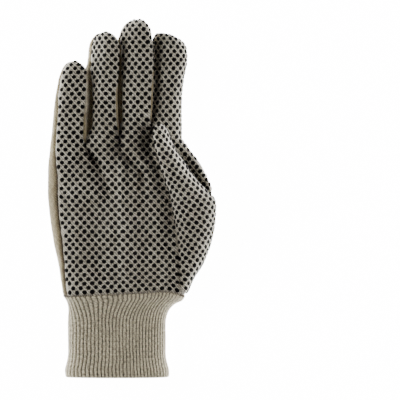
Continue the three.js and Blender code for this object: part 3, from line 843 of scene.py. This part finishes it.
def knit_piece(material):
    """The doubled rib-knit wrist: an outer skin of ribs, a rolled end and an inner skin."""
    turns = np.linspace(0, 2 * np.pi, SECTION_STEPS + 1)
    seam_left, seam_right = palm_left(0), palm_right(0)
    middle, seam_half = (seam_left + seam_right) / 2, (seam_right - seam_left) / 2
    top_left, top_right = (column(KNIT, k, 0) * KNIT_WIDTH for k in ("left", "right"))
    mean = (top_left + top_right) / 2
    fit = seam_half / ((top_right - top_left) / 2)
    centre = middle - mean
    sides = RIB_COUNT * RIB_SIDES
    phase = np.arange(sides) / RIB_SIDES
    profile = 1 - np.abs(np.sin(np.pi * phase)) ** 0.8
    profile *= 0.35 + 0.65 * smooth(1.5 * np.abs(np.sin(2 * np.pi * phase / RIB_COUNT)))

    def ring(along, inset, depth, y):
        """One ring of the section, its ribs evenly spaced along the cloth."""
        blend = np.clip(1 - along / KNIT["along"][3], 0, 1)
        widen = mix(1, fit, blend)
        left = mean * (1 - widen) + column(KNIT, "left", along) * KNIT_WIDTH * widen
        right = mean * (1 - widen) + column(KNIT, "right", along) * KNIT_WIDTH * widen
        height = KNIT_HEIGHT * column(KNIT, "height", along)
        seam = height * SEAM_SHARE
        half = (right - left) / 2 - inset
        full = np.where(turns < np.pi, height - seam, seam * BACK_BULGE) - inset
        x = centre + (left + right) / 2 + half * np.cos(turns)
        z = seam + np.sign(np.sin(turns)) * full * np.abs(np.sin(turns)) ** SECTION_POWER
        length = running(np.hypot(np.diff(x), np.diff(z)))
        wander = RIB_WANDER * ripple(phase * 3 * MM, y + 0 * phase, 9 * MM, 21)
        stretched = RIB_STRETCH * RIB_COUNT / (2 * np.pi) * np.sin(2 * np.pi * phase / RIB_COUNT)
        from_fan = (phase / RIB_COUNT - RIB_FAN_AT) / RIB_FAN_WIDTH
        fan = RIB_FAN * np.exp(-(from_fan**2)) * (1 - smooth(along / RIB_FAN_LENGTH))
        want = (phase + wander - stretched + fan) / RIB_COUNT * length[-1]
        steps = np.arange(SECTION_STEPS + 1)
        at = np.interp(want, length, steps)
        px, pz = np.interp(at, steps, x), np.interp(at, steps, z)
        tangent = np.stack([np.roll(px, -1) - np.roll(px, 1), np.roll(pz, -1) - np.roll(pz, 1)], -1)
        tangent /= np.linalg.norm(tangent, axis=1, keepdims=True)
        outward = np.stack([tangent[:, 1], -tangent[:, 0]], -1)
        uneven = KNIT_UNEVEN * ripple(px + pz, y - pz, 11 * MM, 22)
        out = np.stack([px, pz], -1) + outward * (uneven - depth * profile)[:, None]
        low = np.maximum(inset, 0)
        out[:, 1] = low + 0.5 * (out[:, 1] - low + np.hypot(out[:, 1] - low, 0.5 * MM))
        points = np.stack([out[:, 0], y + 0 * phase, out[:, 1]], -1)
        return points, np.stack([phase * RIB_PITCH, y + 0 * phase], -1)

    # Two rings tucked under the canvas, the outer skin, the rolled end and the inner skin.
    rings = [(0.0, 2.2 * MM, 0.0, 3.0 * MM), (0.0, 1.9 * MM, RIB_DEPTH * 0.2, 0.8 * MM)]
    lip = KNIT_WALL / 2
    straight = KNIT_LENGTH - SEAM_GAP - lip
    for k in range(KNIT_ROWS + 1):
        share = k / KNIT_ROWS
        depth = RIB_DEPTH * (0.35 + 0.65 * smooth(share / 0.12))
        rings.append((share, 0.0, depth, -SEAM_GAP - share * straight))
    for k in range(1, LIP_ROWS):
        swing = np.pi * k / LIP_ROWS
        inset = lip * (1 - math.cos(swing))
        rings.append((1.0, inset, RIB_DEPTH * 0.75, -SEAM_GAP - straight - lip * math.sin(swing)))
    for k in range(KNIT_INSIDE_ROWS + 1):
        share = 1 - k / KNIT_INSIDE_ROWS
        rings.append((share, KNIT_WALL, -RIB_DEPTH * 0.4, -SEAM_GAP - share * straight))
    points, flat = (np.stack(part) for part in zip(*(ring(*row) for row in rings)))
    run = running(np.linalg.norm(np.diff(points[:, 0], axis=0), axis=1))
    flat[..., 1] = -run[:, None]
    ids = np.arange(len(rings) * sides).reshape(len(rings), sides)
    ids = np.concatenate([ids, ids[:, :1]], axis=1)
    quads = grid_quads(np.concatenate([ids, ids[:1]]))
    points = points.reshape(-1, 3)
    # The groove value is the rib profile, also used to paint shade into the knit's colour between the
    # ribs.
    grooves = [("groove", np.tile(profile, len(rings)))]
    placed = settled(points) + SHIFT
    piece = mesh_piece("rib_wrist", placed, quads.tolist(), material, flat.reshape(-1, 2), grooves)
    return piece, points, quads


def tube_faces(base, levels, sides):
    """Faces between rings of points that follow one another from the base."""
    return [
        [row + k, row + (k + 1) % sides, row + sides + (k + 1) % sides, row + sides + k]
        for row in range(base, base + levels * sides, sides)
        for k in range(sides)
    ]


def dots_on(grids, points, normals, flat, room, seed):
    """Raised dots on a lattice of the cloth, each following the cloth under it."""
    rng = np.random.default_rng(seed)
    angles = np.arange(DOT_SIDES) / DOT_SIDES * 2 * np.pi
    trees = []
    for ids in grids:
        quads = grid_quads(ids)
        tris = np.concatenate([quads[:, [0, 1, 2]], quads[:, [0, 2, 3]]])
        tris = tris[(tris != np.roll(tris, 1, axis=1)).all(axis=1)]
        used, local = np.unique(tris, return_inverse=True)
        plan = np.concatenate([flat[used], np.zeros((len(used), 1))], axis=1)
        tree = BVHTree.FromPolygons(plan.tolist(), local.reshape(-1, 3).tolist())
        trees.append((tree, tris, flat[used].min(axis=0), flat[used].max(axis=0)))

    def on_cloth(u, v, order, around=None):
        """Place, normal and room at a place of the flat cloth, on the first grid that has it."""
        for k in order:
            tree, tris = trees[k][:2]
            _, _, index, _ = tree.ray_cast(Vector((u, v, 1)), Vector((0, 0, -1)))
            if index is None:
                continue
            corners = tris[index]
            a, b, c = flat[corners]
            area = (b[0] - a[0]) * (c[1] - a[1]) - (c[0] - a[0]) * (b[1] - a[1])
            if abs(area) < 1e-14:
                continue
            wb = ((u - a[0]) * (c[1] - a[1]) - (c[0] - a[0]) * (v - a[1])) / area
            wc = ((b[0] - a[0]) * (v - a[1]) - (u - a[0]) * (b[1] - a[1])) / area
            weights = np.array([1 - wb - wc, wb, wc])
            place = weights @ points[corners]
            if around is None or np.linalg.norm(place - around) < 3 * DOT_RADIUS:
                return place, weights @ normals[corners], weights @ room[corners]
        return None

    verts, faces = [], []
    pitch = np.array([DOT_PITCH_ACROSS, DOT_PITCH_ALONG])
    for own, (_, _, low, high) in enumerate(trees):
        first, last = np.floor(low / pitch).astype(int) - 1, np.ceil(high / pitch).astype(int) + 1
        near = [own] + [k for k in range(len(trees)) if k != own]
        for i in range(first[0], last[0] + 1):
            for j in range(first[1], last[1] + 1):
                for shift in (0.0, 0.5):
                    u = (i + shift) * DOT_PITCH_ACROSS + rng.normal(0, DOT_SCATTER) * MM
                    v = (j + shift) * DOT_PITCH_ALONG + rng.normal(0, DOT_SCATTER) * MM
                    size = 1 + rng.normal(0, DOT_SPREAD)
                    wobble = 1 + rng.normal(0, DOT_WOBBLE, DOT_SIDES)
                    centre = on_cloth(u, v, [own])
                    if centre is None or centre[2] < DOT_ROOM:
                        continue
                    made = []
                    for share, rise in DOT_RINGS:
                        for k in range(DOT_SIDES):
                            far = DOT_RADIUS * size * share * (wobble[k] * share + 1 - share)
                            x, y = u + far * math.cos(angles[k]), v + far * math.sin(angles[k])
                            y = max(y, low[1] + 0.05 * MM) if own < 2 else y
                            got = on_cloth(x, y, near, centre[0])
                            if got is not None:
                                made.append(got[0] + got[1] * rise * DOT_HEIGHT)
                    if len(made) < len(DOT_RINGS) * DOT_SIDES:
                        continue
                    made.append(centre[0] + centre[1] * DOT_HEIGHT)
                    base = len(verts)
                    verts.extend(made)
                    faces.extend(tube_faces(base, len(DOT_RINGS) - 1, DOT_SIDES))
                    tip = base + len(DOT_RINGS) * DOT_SIDES
                    top = tip - DOT_SIDES
                    faces.extend([top + k, top + (k + 1) % DOT_SIDES, tip] for k in range(DOT_SIDES))
    return np.array(verts), faces


def plain_piece(name, verts, faces, material):
    """A piece from points and faces, kept above the floor."""
    placed = settled(np.asarray(verts)) + SHIFT
    placed[:, 2] = np.maximum(placed[:, 2], 0.02 * MM)
    return mesh_piece(name, placed, faces, material)


def stitch_mesh(starts, ends, normals, radius):
    """Short threads from start to end, arched over the cloth, as one mesh."""
    sides, rows = 6, 6
    verts, faces = [], []
    for start, end, normal in zip(starts, ends, normals):
        along = end - start
        length = np.linalg.norm(along)
        if length < 1e-6:
            continue
        along = along / length
        side = np.cross(normal, along)
        side /= np.linalg.norm(side)
        up = np.cross(along, side)
        base = len(verts)
        for r in range(rows + 1):
            t = r / rows
            lift = math.sin(math.pi * t) * radius * 1.2 - radius * 0.5
            thick = radius * (0.35 + 0.65 * math.sin(math.pi * t) ** 0.5)
            centre = start + along * length * t + up * lift
            for k in range(sides):
                angle = 2 * math.pi * k / sides
                verts.append(centre + (side * math.cos(angle) + up * math.sin(angle)) * thick)
        faces.extend(tube_faces(base, rows, sides))
        faces.append([base + k for k in range(sides)][::-1])
        faces.append([base + rows * sides + k for k in range(sides)])
    return np.array(verts), faces


class Nodes:
    """A short way to build a material's node tree."""

    def __init__(self, name):
        self.material = bpy.data.materials.new(name)
        self.material.use_nodes = True
        self.tree = self.material.node_tree
        self.shader = self.tree.nodes["Principled BSDF"]
        place = self.new("UVMap")
        place.uv_map = "cloth"
        self.cloth = place.outputs[0]
        parts = self.new("SeparateXYZ")
        self.tree.links.new(self.cloth, parts.inputs[0])
        self.u, self.v = parts.outputs[0], parts.outputs[1]
        self.solid = self.new("TexCoord").outputs["Object"]

    def new(self, kind):
        return self.tree.nodes.new("ShaderNode" + kind)

    def feed(self, socket, value):
        if isinstance(value, bpy.types.NodeSocket):
            self.tree.links.new(value, socket)
        else:
            socket.default_value = value

    def math(self, operation, a, b=0.0, c=0.0):
        node = self.new("Math")
        node.operation = operation
        for socket, value in zip(node.inputs, (a, b, c)):
            self.feed(socket, value)
        return node.outputs[0]

    def add(self, a, b):
        return self.math("ADD", a, b)

    def times(self, a, b):
        return self.math("MULTIPLY", a, b)

    def wave(self, value, size):
        """0 to 1 and back over each size."""
        turn = self.times(value, 2 * math.pi / size)
        return self.math("MULTIPLY_ADD", self.math("COSINE", turn), 0.5, 0.5)

    def noise(self, size, detail=2.0, vector=None, stretch=None):
        node = self.new("TexNoise")
        vector = vector or self.solid
        if stretch:
            scaled = self.new("VectorMath")
            scaled.operation = "MULTIPLY"
            self.feed(scaled.inputs[0], vector)
            scaled.inputs[1].default_value = stretch
            vector = scaled.outputs[0]
        self.feed(node.inputs["Vector"], vector)
        node.inputs["Scale"].default_value = 1 / size
        node.inputs["Detail"].default_value = detail
        return node.outputs["Fac"]

    def fit(self, value, low, high, to_low=0.0, to_high=1.0):
        node = self.new("MapRange")
        self.feed(node.inputs[0], value)
        for k, number in enumerate((low, high, to_low, to_high)):
            node.inputs[k + 1].default_value = number
        return node.outputs[0]

    def blend(self, share, a, b, way="MIX"):
        node = self.new("Mix")
        node.data_type = "RGBA"
        node.blend_type = way
        self.feed(node.inputs[0], share)
        self.feed(node.inputs[6], a)
        self.feed(node.inputs[7], b)
        return node.outputs[2]

    def stain(self, color, share, tone):
        """The colour, darkened by a tone."""
        return self.blend(share, color, tone, "MULTIPLY")

    def patches(self, size, share):
        """Soft patches of up to the given share."""
        return self.times(self.fit(self.noise(size, 3), 0.3, 0.72), share)

    def attribute(self, name):
        node = self.new("Attribute")
        node.attribute_name = name
        return node.outputs["Fac"]

    def bump(self, height, distance, strength=1.0, under=None):
        node = self.new("Bump")
        self.feed(node.inputs["Height"], height)
        node.inputs["Distance"].default_value = distance
        node.inputs["Strength"].default_value = strength
        if under is not None:
            self.feed(node.inputs["Normal"], under)
        return node.outputs[0]

    def done(self, color, roughness, normal=None, sheen=0.0, specular=0.5):
        shader = self.shader
        self.feed(shader.inputs["Base Color"], color)
        self.feed(shader.inputs["Roughness"], roughness)
        if normal is not None:
            self.feed(shader.inputs["Normal"], normal)
        shader.inputs["Sheen Weight"].default_value = sheen
        shader.inputs["Sheen Roughness"].default_value = 0.6
        shader.inputs["Specular IOR Level"].default_value = specular
        return self.material


def rgb(red, green, blue):
    """A colour as seen on a screen, 0 to 255, made linear."""
    shares = [c / 255 for c in (red, green, blue)]
    linear = [((c + 0.055) / 1.055) ** 2.4 if c > 0.04 else c / 12.92 for c in shares]
    return (*linear, 1)


def canvas_material(name, dark, light, grime_and_shade, yarn, depth, edge_wear_and_shade):
    """Cotton twill of the given yarn pitch, with uneven yarn, soft stains, painted shade in the low
    places of the weave, and edges darkened partly by wear and partly as painted shade.

    Each upright yarn comes up over one cross yarn in four, a step further on than the yarn beside it.
    """
    n = Nodes(name)
    wander = n.fit(n.noise(7 * MM, 2), 0.3, 0.7, -0.2 * MM, 0.2 * MM)
    across = n.times(n.add(n.u, wander), 1 / yarn)
    along = n.times(n.add(n.v, n.times(wander, 0.7)), 1 / yarn)
    turn = n.math("FRACT", n.times(n.add(along, n.math("FLOOR", across)), 0.25))
    away = n.math("ABSOLUTE", n.math("SUBTRACT", turn, 0.5))
    raised = n.fit(away, 0.08, 0.3, 1.0, 0.0)
    counter = n.math("FRACT", n.times(n.math("SUBTRACT", along, n.math("FLOOR", across)), 0.25))
    counter = n.fit(n.math("ABSOLUTE", n.math("SUBTRACT", counter, 0.5)), 0.08, 0.3, 0.62, 0.0)
    uneven = n.fit(n.noise(1.9 * MM, 2, n.cloth), 0.34, 0.62, 0.5, 1.0)
    raised = n.times(n.math("MAXIMUM", raised, counter), uneven)
    upright = n.math("POWER", n.math("ABSOLUTE", n.math("SINE", n.times(across, math.pi))), 0.6)
    level = n.math("POWER", n.math("ABSOLUTE", n.math("SINE", n.times(along, math.pi))), 0.6)
    slub = n.noise(0.9 * MM, 2, n.cloth)
    woven = n.math("MAXIMUM", n.times(raised, upright), n.times(level, 0.34))
    height = n.add(n.times(woven, 0.68), n.times(slub, 0.46))
    # Painted shade: the colour follows the weave's height, darker in its low places and lighter on the
    # raised yarns, mixed with the yarns' own slubs.
    color = n.blend(n.fit(height, 0.3, 0.94), dark, light)
    color = n.stain(color, n.patches(24 * MM, 0.3), grime_and_shade)
    flecks = n.fit(n.noise(0.8 * MM, 1, n.cloth, (1.0, 0.6, 1.0)), 0.64, 0.76)
    color = n.stain(color, n.times(flecks, 0.35), grime_and_shade)
    # Edges and seams darker: partly wear, partly painted shade for the shadow at the seams.
    color = n.stain(color, n.times(n.attribute("edge"), edge_wear_and_shade), grime_and_shade)
    fuzz = n.noise(0.35 * MM, 2, n.cloth)
    normal = n.bump(fuzz, 0.05 * MM, 0.6)
    normal = n.bump(height, depth, 1.0, normal)
    rough = n.fit(height, 0, 1, 0.97, 0.86)
    return n.done(color, rough, normal, 0.12, 0.25)


def knit_material(name, dark, light, shade_and_stain):
    """Rib knit in a heather yarn: slanting stitch rows on each rib, with painted shade between the
    stitch rows and between the ribs.
    """
    n = Nodes(name)
    place = n.math("FRACT", n.times(n.u, 1 / RIB_PITCH))
    slant = n.math("ABSOLUTE", n.math("SUBTRACT", place, 0.5))
    wander = n.fit(n.noise(9 * MM, 2), 0.3, 0.7, -0.3 * MM, 0.3 * MM)
    row = n.wave(n.add(n.add(n.v, wander), n.times(slant, 2.2 * MM)), 1.5 * MM)
    yarn = n.noise(1.3 * MM, 3, n.cloth, (1.6, 0.7, 1.0))
    height = n.add(n.times(row, 0.55), n.times(yarn, 0.45))
    color = n.blend(n.fit(yarn, 0.32, 0.68, 0.1, 1.0), dark, light)
    # Painted shade in the hollows between the stitch rows.
    color = n.stain(color, n.fit(row, 0, 1, 0.3, 0.0), shade_and_stain)
    # Painted shade in the grooves between the ribs.
    color = n.stain(color, n.attribute("groove"), shade_and_stain)
    color = n.stain(color, n.patches(17 * MM, 0.22), shade_and_stain)
    fuzz = n.noise(0.4 * MM, 2, n.cloth)
    normal = n.bump(height, 0.22 * MM, 1.0, n.bump(fuzz, 0.06 * MM, 0.6))
    return n.done(color, 0.95, normal, 0.15, 0.2)


def dot_material(name):
    """Matte black vinyl, a little uneven and dusty."""
    n = Nodes(name)
    grain = n.noise(0.7 * MM, 2)
    dust = n.fit(n.noise(14 * MM, 3), 0.35, 0.75)
    color = n.blend(dust, rgb(1, 1, 1), rgb(4, 4, 4))
    rough = n.fit(grain, 0.3, 0.7, 0.5, 0.7)
    return n.done(color, rough, n.bump(grain, 0.08 * MM, 0.8), 0.0, 0.015)


def thread_material(name, dark, light):
    n = Nodes(name)
    twist = n.noise(0.6 * MM, 2)
    color = n.blend(n.fit(twist, 0.35, 0.65), dark, light)
    return n.done(color, 0.85, n.bump(twist, 0.1 * MM, 0.8), 0.1, 0.3)


# The third colour of each canvas serves its stains and flecks and the painted shade at its edges; the
# knit's last colour serves its painted shade and its stains.
dotted_canvas = canvas_material(
    "dotted_canvas", rgb(40, 37, 30), rgb(214, 208, 189), rgb(132, 116, 88), 0.56 * MM, 0.24 * MM, 0.4
)
plain_canvas = canvas_material(
    "plain_canvas", rgb(76, 67, 44), rgb(174, 162, 127), rgb(116, 94, 64), 0.5 * MM, 0.2 * MM, 0.9
)
rib_knit = knit_material("rib_knit", rgb(76, 69, 53), rgb(190, 181, 153), rgb(58, 49, 34))
black_dots = dot_material("black_dots")
brown_thread = thread_material("brown_thread", rgb(30, 26, 20), rgb(84, 72, 54))

# The hand: two sheets of canvas, sewn together along the sides of the fingers.
sheet, hand_grids = dotted_sheet()
dotted_points, dotted_flat, dotted_faces = sheet.whole()
dotted_points, dotted_normals, dotted_away = dressed(dotted_points, dotted_faces)
plain_points, plain_flat, plain_faces = plain_sheet().whole()
plain_points, plain_normals, plain_away = dressed(plain_points, plain_faces)

# The thumb, with what lies inside the hand left away, and the hand's cloth inside the thumb.
sheet, thumb_grid = thumb_sheet()
tube_points, thumb_flat, thumb_faces = sheet.whole()
tube_points, thumb_normals, thumb_away = dressed(tube_points, thumb_faces)
hand_tree = tree_of(
    np.concatenate([dotted_points, plain_points]),
    np.concatenate([dotted_faces, plain_faces + len(dotted_points)]),
)
thumb_tree = tree_of(tube_points, thumb_faces)
thumb_depth = depth_inside(tube_points, hand_tree)
palm_depth = depth_inside(dotted_points, thumb_tree)
thumb_kept = keep_outside(thumb_faces, thumb_depth, THUMB_LIMIT)
palm_kept = keep_outside(dotted_faces, palm_depth, PALM_LIMIT)
thumb_away = np.minimum(thumb_away, np.abs(thumb_depth))
dotted_away = np.minimum(dotted_away, np.abs(palm_depth))


def build_cloth(name, faces, points, normals, flat, away, material):
    """A canvas piece of the points that its faces use."""
    used, local = np.unique(faces, return_inverse=True)
    local = local.reshape(faces.shape)
    return cloth_piece(name, points[used], normals[used], flat[used], local, away[used], material)


palm_piece = build_cloth(
    "canvas_palm", palm_kept, dotted_points, dotted_normals, dotted_flat, dotted_away, dotted_canvas
)
back_piece = build_cloth(
    "canvas_back", plain_faces, plain_points, plain_normals, plain_flat, plain_away, plain_canvas
)
thumb_piece = build_cloth(
    "canvas_thumb", thumb_kept, tube_points, thumb_normals, thumb_flat, thumb_away, dotted_canvas
)
wrist_piece, knit_points, knit_faces = knit_piece(rib_knit)

# Dots, none where cloth is covered or folded into a seam.
palm_room = np.where(palm_depth > -0.4 * MM, 0, dotted_away)
thumb_room = np.where(thumb_depth > -0.2 * MM, 0, thumb_away)
verts, dot_faces = dots_on(hand_grids, dotted_points, dotted_normals, dotted_flat, palm_room, 11)
palm_dots = plain_piece("dots_palm", verts, dot_faces, black_dots)
verts, dot_faces = dots_on([thumb_grid], tube_points, thumb_normals, thumb_flat, thumb_room, 12)
thumb_dots = plain_piece("dots_thumb", verts, dot_faces, black_dots)

# Overcast thread along the wrist seam, from the canvas down to the knit.
rng = np.random.default_rng(31)
knit_tree = tree_of(knit_points, knit_faces)


def seam_place(tree, turn, side, y):
    """A place on a skin beside the wrist seam, and its normal."""
    left, right, height, seam = (float(value) for value in palm_section(0))
    rise = (height - seam if side > 0 else seam) + 2 * MM
    x = (left + right) / 2 - ((right - left) / 2 + 2 * MM) * math.cos(turn)
    z = seam + side * rise * max(math.sin(turn), 0) ** SECTION_POWER
    place, normal, _, _ = tree.find_nearest(Vector((x, y, max(z, 1 * MM))))
    return np.array(place), np.array(normal)


starts, ends, ups = [], [], []
for side, count in ((1, STITCHES_ON_PALM), (-1, STITCHES_ON_BACK)):
    for k in range(count):
        turn = math.pi * (k + 0.5 + rng.normal(0, 0.12)) / count
        top, up = seam_place(hand_tree, turn, side, (0.5 + rng.normal(0, STITCH_SCATTER)) * MM)
        low_y = (-0.7 + rng.normal(0, STITCH_SCATTER)) * MM
        low, down = seam_place(knit_tree, turn + side * 0.02, side, low_y)
        starts.append(top)
        ends.append(low)
        ups.append(up + down)
verts, thread_faces = stitch_mesh(starts, ends, ups, STITCH_RADIUS)
stitches = plain_piece("wrist_stitches", verts, thread_faces, brown_thread)

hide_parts("dotted_palm")
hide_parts("plain_back")
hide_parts("dotted_thumb")
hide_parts("knit_wrist")

# Floor, light and camera.
bpy.ops.mesh.primitive_plane_add(size=8, location=(0, 0, 0))
floor = bpy.context.object
floor.name = "floor"
floor_nodes = Nodes("pale_floor")
floor.data.materials.append(floor_nodes.done((0.95, 0.95, 0.95, 1), 0.9, specular=0.2))
floor_nodes.shader.inputs["Emission Color"].default_value = (1, 1, 1, 1)
floor_nodes.shader.inputs["Emission Strength"].default_value = 14


def area_light(name, place, size, power):
    """A square lamp aimed at the middle of the part's base."""
    light = bpy.data.lights.new(name, "AREA")
    light.shape = "SQUARE"
    light.size, light.energy = size, power
    lamp = bpy.data.objects.new(name, light)
    lamp.location = place
    lamp.rotation_euler = (-Vector(place)).to_track_quat("-Z", "Y").to_euler()
    bpy.context.collection.objects.link(lamp)


area_light("left_light", (-1.0, 0.2, 0.6), 0.8, 30)
area_light("right_light", (1.0, -0.1, 0.6), 0.8, 24)
area_light("top_light", (0.1, 0.5, 1.9), 0.9, 2)
world = bpy.data.worlds.new("studio")
bpy.context.scene.world = world
world.use_nodes = True
sky = world.node_tree.nodes["Background"]
sky.inputs["Color"].default_value = (1, 1, 1, 1)
sky.inputs["Strength"].default_value = 0.1

camera = bpy.data.cameras.new("camera")
camera.lens, camera.sensor_width = 200, 36
camera_object = bpy.data.objects.new("camera", camera)
camera_object.location = (0.0495, -0.0013, 1.619)
bpy.context.collection.objects.link(camera_object)
bpy.context.scene.camera = camera_object
